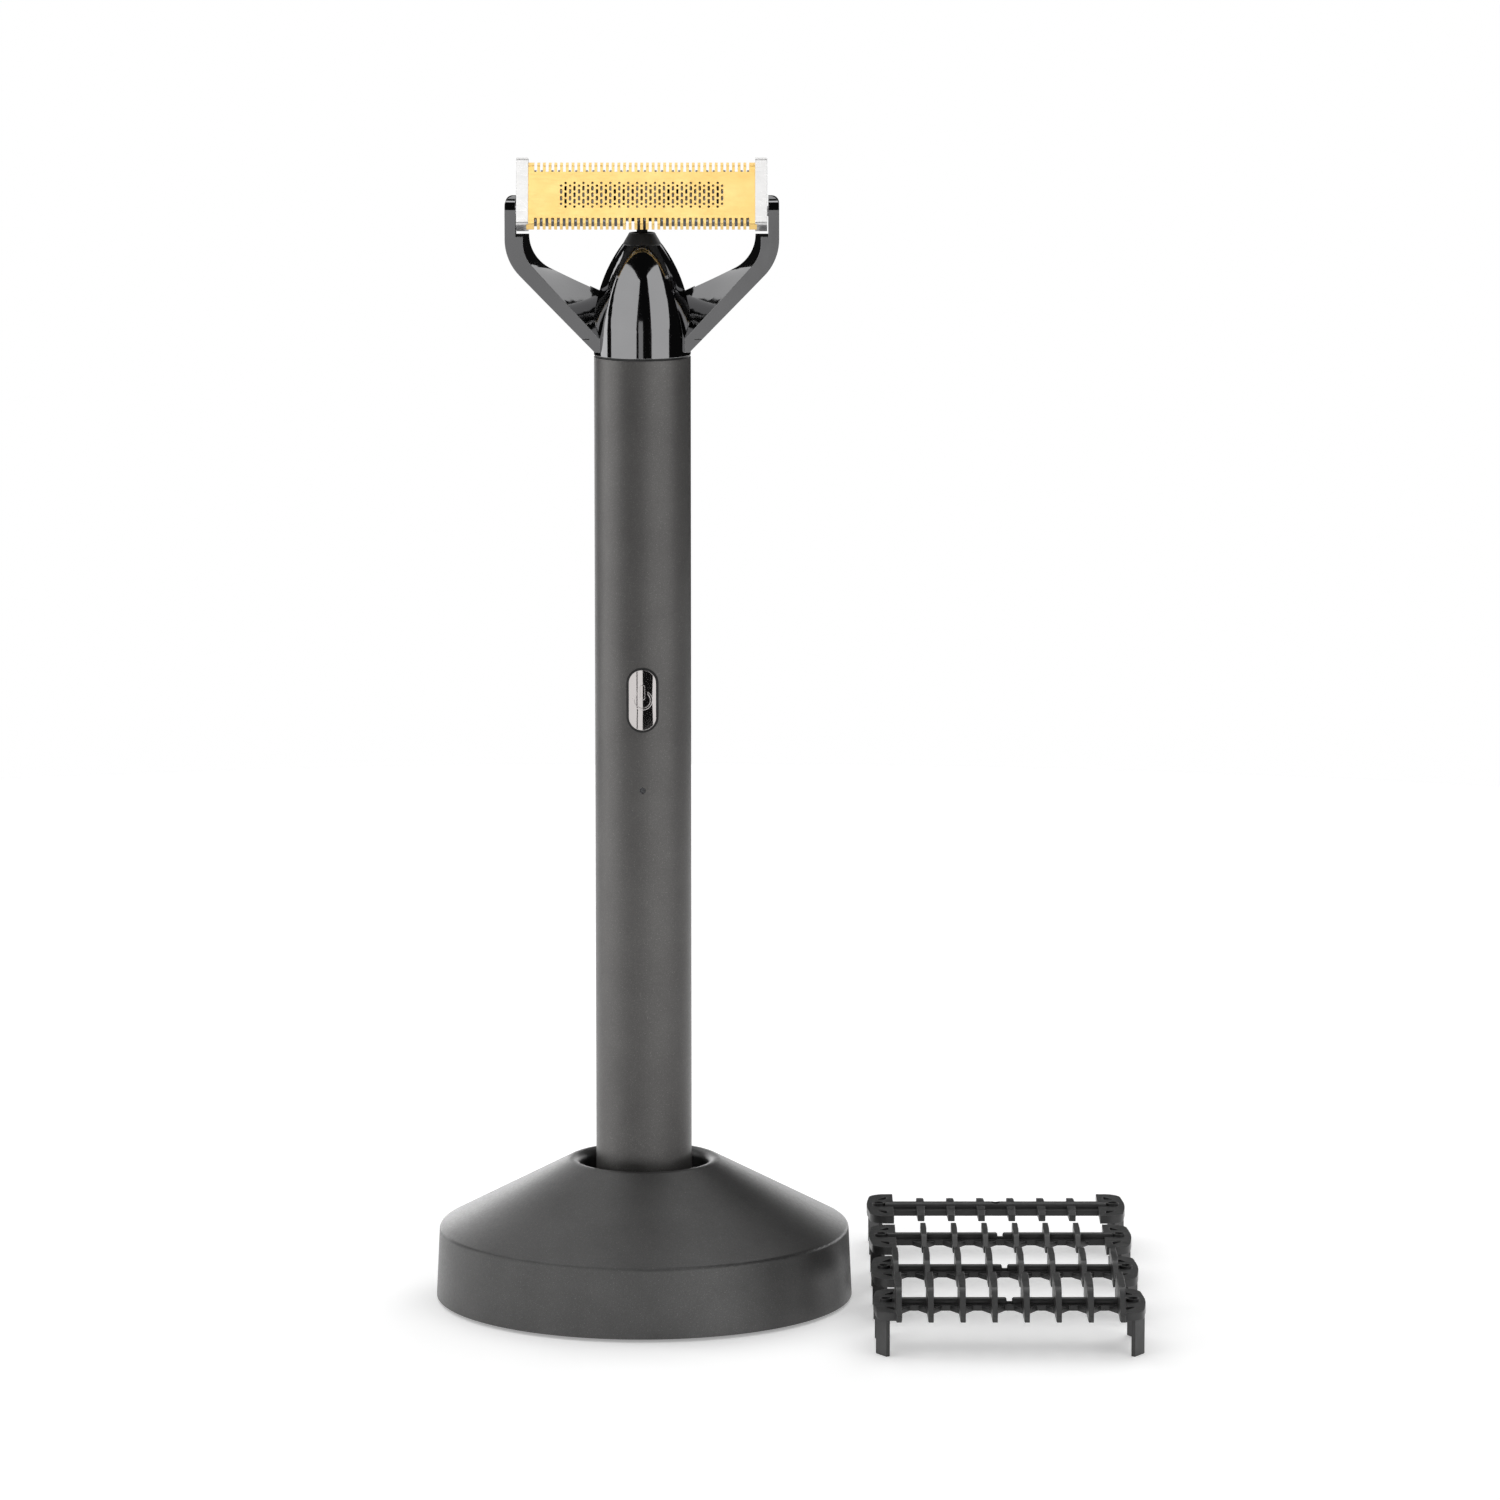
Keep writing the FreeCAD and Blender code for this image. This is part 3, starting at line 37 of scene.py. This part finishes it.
class Shader:
    """A node material with one Principled shader, and short calls for the nodes that feed it."""

    def __init__(self, name, **sockets):
        self.material = bpy.data.materials.new(name)
        self.material.use_nodes = True
        self.tree = self.material.node_tree
        self.principled = self.tree.nodes["Principled BSDF"]
        self.coords = self.tree.nodes.new("ShaderNodeTexCoord").outputs["Object"]
        for socket, value in sockets.items():
            self.principled.inputs[socket.replace("_", " ")].default_value = value

    def link(self, source, target):
        self.tree.links.new(source, target)

    def vary(self, socket, source, low, high, start=NOISE_LOW, end=NOISE_HIGH):
        """Takes a Principled socket from low to high while the source goes from start to end."""
        self.link(self.ramp(source, [(start, low), (end, high)]), self.principled.inputs[socket])

    def stretched(self, scale):
        """Object coordinates scaled by (x, y, z)."""
        mapping = self.tree.nodes.new("ShaderNodeMapping")
        mapping.inputs["Scale"].default_value = scale
        self.link(self.coords, mapping.inputs["Vector"])
        return mapping.outputs["Vector"]

    def noise(self, size, detail, stretch=None):
        """Noise whose blotches are about size metres across."""
        node = self.tree.nodes.new("ShaderNodeTexNoise")
        node.inputs["Scale"].default_value = 1 / size
        node.inputs["Detail"].default_value = detail
        node.inputs["Roughness"].default_value = NOISE_ROUGHNESS
        self.link(self.stretched(stretch) if stretch else self.coords, node.inputs["Vector"])
        return node.outputs["Fac"]

    def flakes(self, size):
        """A random grey for each small cell."""
        node = self.tree.nodes.new("ShaderNodeTexVoronoi")
        node.inputs["Scale"].default_value = 1 / size
        self.link(self.coords, node.inputs["Vector"])
        return node.outputs["Color"]

    def ramp(self, source, stops):
        """Maps a factor through (place, colour or grey) stops."""
        node = self.tree.nodes.new("ShaderNodeValToRGB")
        elements = node.color_ramp.elements
        while len(elements) < len(stops):
            elements.new(0.5)                       # anywhere between the two ends
        for element, (place, colour) in zip(elements, stops):
            element.position = place
            element.color = grey(colour) if isinstance(colour, float) else (*colour, 1)
        self.link(source, node.inputs["Fac"])
        return node.outputs["Color"]

    def mix(self, kind, factor, a, b):
        """Blends two colours. Each value is a socket to link or a plain value."""
        node = self.tree.nodes.new("ShaderNodeMix")
        node.data_type = "RGBA"
        node.blend_type = kind
        for place, value in ((MIX_FACTOR, factor), (MIX_A, a), (MIX_B, b)):
            if hasattr(value, "is_linked"):
                self.link(value, node.inputs[place])
            else:
                node.inputs[place].default_value = value
        return node.outputs[MIX_RESULT]

    def bump(self, height, distance, strength, edge=None):
        """Bump from a height of up to distance metres, over corners rounded by edge metres."""
        node = self.tree.nodes.new("ShaderNodeBump")
        node.inputs["Strength"].default_value = strength
        node.inputs["Distance"].default_value = distance
        self.link(height, node.inputs["Height"])
        if edge:
            self.link(self.soft_edges(edge), node.inputs["Normal"])
        self.link(node.outputs["Normal"], self.principled.inputs["Normal"])

    def soft_edges(self, radius):
        """Normals that round every edge by radius metres."""
        node = self.tree.nodes.new("ShaderNodeBevel")
        node.samples = EDGE_SAMPLES
        node.inputs["Radius"].default_value = radius
        return node.outputs["Normal"]


def grey(level):
    return (level, level, level, 1)


def scaled(tint, factor):
    return tuple(channel * factor for channel in tint)


# ---------------------------------------------------------------- materials

SOFT_EDGE = 0.12 * MM                               # rounding that light catches on most pieces
FINE_EDGE = 0.05 * MM                               # on the foil and the seals
ALONG_X = (0.15, 1, 1)                              # draws a grain out along x
ALL_WAYS = (1, 1, 1)                                # a tumbled finish, without a direction


def metallic_coat(name, dark, light):
    """Satin metallic lacquer: fine flakes in a warm grey coat, with faint orange peel."""
    sh = Shader(name, Metallic=0.72, Coat_Weight=0.25, Coat_Roughness=0.35)
    cloud = sh.ramp(sh.noise(14 * MM, detail=4), [(0.35, dark), (0.65, light)])
    flake = sh.ramp(sh.flakes(0.09 * MM), [(0.45, 0.80), (0.86, 1.0), (0.97, 1.75)])
    sh.link(sh.mix("MULTIPLY", 1.0, cloud, flake), sh.principled.inputs["Base Color"])
    sh.vary("Roughness", sh.noise(0.5 * MM, detail=2), 0.40, 0.50)
    sh.bump(sh.noise(0.12 * MM, detail=2), distance=0.006 * MM, strength=0.6, edge=SOFT_EDGE)
    return sh.material


def polished_chrome(name, tint):
    """Polished plating with the faintest waviness and fine wiping marks."""
    sh = Shader(name, Metallic=1.0)
    sh.vary("Base Color", sh.noise(9 * MM, detail=3), scaled(tint, 0.93), tint)
    marks = sh.noise(2.5 * MM, detail=5, stretch=(1, 1, 0.25))
    sh.vary("Roughness", marks, 0.045, 0.09, start=0.35, end=0.75)
    sh.bump(sh.noise(3 * MM, detail=1), distance=0.004 * MM, strength=0.5, edge=SOFT_EDGE)
    return sh.material


def satin_gold(name):
    """Titanium-gold foil: grained along its length, a little deeper in tone here and there."""
    sh = Shader(name, Metallic=1.0)
    sh.vary("Base Color", sh.noise(5 * MM, detail=4), (0.86, 0.58, 0.20), (0.94, 0.67, 0.26))
    grain = sh.noise(0.25 * MM, detail=3, stretch=(0.12, 1, 1))
    sh.vary("Roughness", grain, 0.30, 0.42)
    sh.bump(grain, distance=0.004 * MM, strength=0.5, edge=FINE_EDGE)
    return sh.material


def satin_metal(name, tint, rough, grain_size=0.3 * MM, stretch=ALONG_X):
    """Brushed metal with a grain along x, or tumbled metal with an even one."""
    sh = Shader(name, Metallic=1.0)
    sh.vary("Base Color", sh.noise(4 * MM, detail=4), scaled(tint, 0.9), tint)
    grain = sh.noise(grain_size, detail=4, stretch=stretch)
    sh.vary("Roughness", grain, rough * 0.85, rough * 1.2)
    sh.bump(grain, distance=0.004 * MM, strength=0.5, edge=SOFT_EDGE)
    return sh.material


def moulded_plastic(name, tint, rough, texture=0.18 * MM, relief=0.012 * MM, edge=SOFT_EDGE):
    """Spark-eroded moulded plastic: fine even texture, slightly uneven gloss."""
    sh = Shader(name)
    sh.vary("Base Color", sh.noise(3 * MM, detail=4), scaled(tint, 0.8), scaled(tint, 1.15))
    sh.vary("Roughness", sh.noise(1.6 * MM, detail=4), rough * 0.85, rough * 1.15)
    sh.bump(sh.noise(texture, detail=3), distance=relief, strength=0.8, edge=edge)
    return sh.material


def clear_plastic(name):
    """Smoky clear plastic, for the light pipe."""
    sh = Shader(name, Transmission_Weight=0.6, IOR=1.49)
    sh.vary("Base Color", sh.noise(0.4 * MM, detail=2), (0.10, 0.10, 0.11), (0.16, 0.16, 0.17))
    sh.vary("Roughness", sh.noise(0.2 * MM, detail=2), 0.12, 0.2)
    return sh.material


def circuit_green(name):
    """Solder-resist green with the faint lines of the tracks under it."""
    sh = Shader(name, Coat_Weight=0.4, Coat_Roughness=0.15)
    tracks = sh.noise(0.7 * MM, detail=0, stretch=(3, 1, 0.4))
    sh.vary("Base Color", tracks, (0.01, 0.12, 0.05), (0.02, 0.24, 0.10), start=0.48, end=0.52)
    sh.vary("Roughness", sh.noise(1.0 * MM, detail=2), 0.3, 0.4)
    sh.bump(tracks, distance=0.02 * MM, strength=0.6)
    return sh.material


def make_materials():
    """The finish of every material slot in the record."""
    return {
        "stand_coat": metallic_coat("stand_coat", (0.085, 0.084, 0.083), (0.105, 0.104, 0.103)),
        "handle_coat": metallic_coat("handle_coat", (0.125, 0.121, 0.118), (0.150, 0.146, 0.142)),
        "black_chrome": polished_chrome("black_chrome", (0.30, 0.30, 0.305)),
        "gold": satin_gold("gold"),
        "silver": satin_metal("silver", (0.72, 0.715, 0.71), 0.30),
        "comb_plastic": moulded_plastic("comb_plastic", (0.028, 0.028, 0.028), 0.37),
        "button_chrome": polished_chrome("button_chrome", (0.60, 0.57, 0.56)),
        "seal_rubber": moulded_plastic("seal_rubber", (0.006, 0.006, 0.006), 0.6,
                                       texture=0.3 * MM, relief=0.02 * MM, edge=FINE_EDGE),
        "spring_steel": satin_metal("spring_steel", (0.62, 0.62, 0.64), 0.3),
        "ballast_iron": satin_metal("ballast_iron", (0.20, 0.19, 0.18), 0.6,
                                    grain_size=0.5 * MM, stretch=ALL_WAYS),
        "black_plastic": moulded_plastic("black_plastic", (0.014, 0.014, 0.014), 0.5, texture=0.25 * MM),
        "contact_gold": satin_metal("contact_gold", (0.90, 0.66, 0.28), 0.2,
                                    grain_size=0.2 * MM, stretch=ALL_WAYS),
        "board_green": circuit_green("board_green"),
        "cell_wrap": moulded_plastic("cell_wrap", (0.03, 0.16, 0.36), 0.3,
                                     texture=0.8 * MM, relief=0.01 * MM),
        "clear_plastic": clear_plastic("clear_plastic"),
        "white_nylon": moulded_plastic("white_nylon", (0.62, 0.61, 0.58), 0.45, texture=0.25 * MM),
    }


def dress_nodes(materials):
    """Gives each CAD node the material of its slot in the record."""
    slot_of = {part["node"]: part["material_slot"] for part in frame["record"]["subparts"]}
    for name, obj in nodes.items():
        obj.data.materials.clear()
        obj.data.materials.append(materials[slot_of[name]])


# ---------------------------------------------------------------- stage, lights and camera

FOCUS = Vector((18.9 * MM, 0, 98.8 * MM))           # the point that the camera looks at
ELEVATION = math.radians(9)                         # of the camera above that point
DISTANCE = 1.4                                      # from the camera to that point, in metres
VIEW_WIDTH = 265.5 * MM                             # what the picture is wide there
SENSOR = 36.0
CLIP_NEAR, CLIP_FAR = 0.05, 20
FLOOR_RADIUS = 0.6
FLOOR_SIDES = 96
FLOOR_GLOW = 0.30                                   # keeps the paper as white as the wall
LIT_POINT = Vector((0, 0, 120 * MM))                # the point that every soft box faces
STUDIO_LEVEL = 0.008                                # the surroundings that surfaces see
WALL_LEVEL = 1.0                                    # the surroundings that the camera sees


def make_camera():
    data = bpy.data.cameras.new("camera")
    data.sensor_width = SENSOR
    data.lens = SENSOR * DISTANCE / VIEW_WIDTH
    data.clip_start = CLIP_NEAR
    data.clip_end = CLIP_FAR
    camera = bpy.data.objects.new("camera", data)
    camera.location = FOCUS + Vector((0, -math.cos(ELEVATION), math.sin(ELEVATION))) * DISTANCE
    camera.rotation_euler = (math.pi / 2 - ELEVATION, 0, 0)
    bpy.context.scene.collection.objects.link(camera)
    bpy.context.scene.camera = camera


def make_floor():
    """A round pale table top, with a little unevenness in its paper."""
    mesh = bpy.data.meshes.new("floor")
    rim = [(math.cos(a) * FLOOR_RADIUS, math.sin(a) * FLOOR_RADIUS, 0)
           for a in (2 * math.pi * side / FLOOR_SIDES for side in range(FLOOR_SIDES))]
    mesh.from_pydata(rim, [], [tuple(range(FLOOR_SIDES))])
    floor = bpy.data.objects.new("floor", mesh)
    bpy.context.scene.collection.objects.link(floor)
    sh = Shader("floor_paper", Specular_IOR_Level=0.1, Roughness=0.8, Emission_Strength=FLOOR_GLOW,
                Emission_Color=grey(1.0))
    sh.vary("Base Color", sh.noise(20 * MM, detail=3), 0.90, 0.93)
    mesh.materials.append(sh.material)


def make_softbox(name, azimuth, elevation, distance, size, radiance, only=(), never=()):
    """An area light that faces LIT_POINT from a distance in metres. Azimuth and elevation are in degrees:
    azimuth 0 is the camera's side and 90 the right. It reaches only the named nodes, or never them."""
    data = bpy.data.lights.new(name, "AREA")
    data.shape = "RECTANGLE"
    data.size, data.size_y = size
    data.energy = radiance * math.pi * size[0] * size[1]
    light = bpy.data.objects.new(name, data)
    turn, rise = math.radians(azimuth), math.radians(elevation)
    direction = Vector((math.sin(turn) * math.cos(rise), -math.cos(turn) * math.cos(rise), math.sin(rise)))
    light.location = LIT_POINT + direction * distance
    light.rotation_euler = direction.to_track_quat("Z", "Y").to_euler()
    bpy.context.scene.collection.objects.link(light)
    if only or never:
        reached = bpy.data.collections.new(name + "_reaches")
        for node in only or never:
            reached.objects.link(nodes[node])
        for entry in reached.collection_objects:
            entry.light_linking.link_state = "INCLUDE" if only else "EXCLUDE"
        light.light_linking.receiver_collection = reached


def make_world():
    """A dark studio to every surface, and a white wall behind the table to the eye."""
    world = bpy.data.worlds.new("studio")
    world.use_nodes = True
    tree = world.node_tree
    background = tree.nodes["Background"]
    background.inputs["Color"].default_value = grey(STUDIO_LEVEL)
    wall = tree.nodes.new("ShaderNodeBackground")
    wall.inputs["Color"].default_value = grey(WALL_LEVEL)
    eye = tree.nodes.new("ShaderNodeLightPath")
    join = tree.nodes.new("ShaderNodeMixShader")
    tree.links.new(eye.outputs["Is Camera Ray"], join.inputs[0])
    tree.links.new(background.outputs["Background"], join.inputs[1])
    tree.links.new(wall.outputs["Background"], join.inputs[2])
    tree.links.new(join.outputs["Shader"], tree.nodes["World Output"].inputs["Surface"])
    bpy.context.scene.world = world


def make_lights():
    """Each box has a name, azimuth, elevation, distance, (width, height) and radiance."""
    tube = ["handle_tube"]
    fork = ["fork_neck"]
    stand = ["stand_shell"]
    head = frame["record"]["behaviour"]["bodies"]["head"]
    # In front: broad boxes, which the handle has in places of its own
    make_softbox("box_left", -46, 14, 1.0, (1.35, 1.3), 1.05, never=tube)
    make_softbox("box_far_left", -104, 8, 1.0, (0.45, 1.1), 1.5)
    make_softbox("box_right", 45, 14, 1.0, (0.85, 1.3), 1.05, never=tube)
    make_softbox("tube_left", -77, 10, 1.0, (0.75, 1.3), 1.5, only=tube)
    make_softbox("tube_right", 43, 10, 1.0, (1.3, 1.3), 1.2, only=tube)
    # A small box low in front and a strip overhead
    make_softbox("box_low", -2.9, 1.2, 1.0, (0.18, 0.24), 0.5)
    make_softbox("box_high", 0, 76, 1.2, (1.4, 0.3), 1.5)
    # Behind: rims and a wash, kept off the pieces that they would whiten
    make_softbox("rim_left", -157, 12, 1.1, (0.5, 1.0), 1.2, never=fork)
    make_softbox("rim_right", 150, 12, 1.1, (0.6, 1.0), 1.7, never=fork + stand + tube)
    make_softbox("back_wash", 180, 62, 1.1, (2.4, 1.2), 1.25, never=fork + stand)
    # For single pieces
    make_softbox("stand_top", -172, 68, 1.1, (1.3, 0.8), 1.2, only=stand)
    make_softbox("stand_right", 55, 2, 1.0, (1.3, 0.7), 0.55, only=stand)
    make_softbox("stand_back", 175, 2, 1.1, (2.4, 0.27), 2.7, only=stand)
    make_softbox("fork_wash", 180, 48, 1.1, (1.7, 1.15), 0.8, only=fork)
    make_softbox("box_head", -1, 35, 0.8, (0.55, 0.5), 1.3, only=head)
    make_softbox("box_button", -6, -4, 1.0, (0.2, 0.6), 1.05, only=["power_button"])


dress_nodes(make_materials())
make_floor()
make_world()
make_lights()
make_camera()
bpy.context.scene.view_settings.view_transform = "Standard"
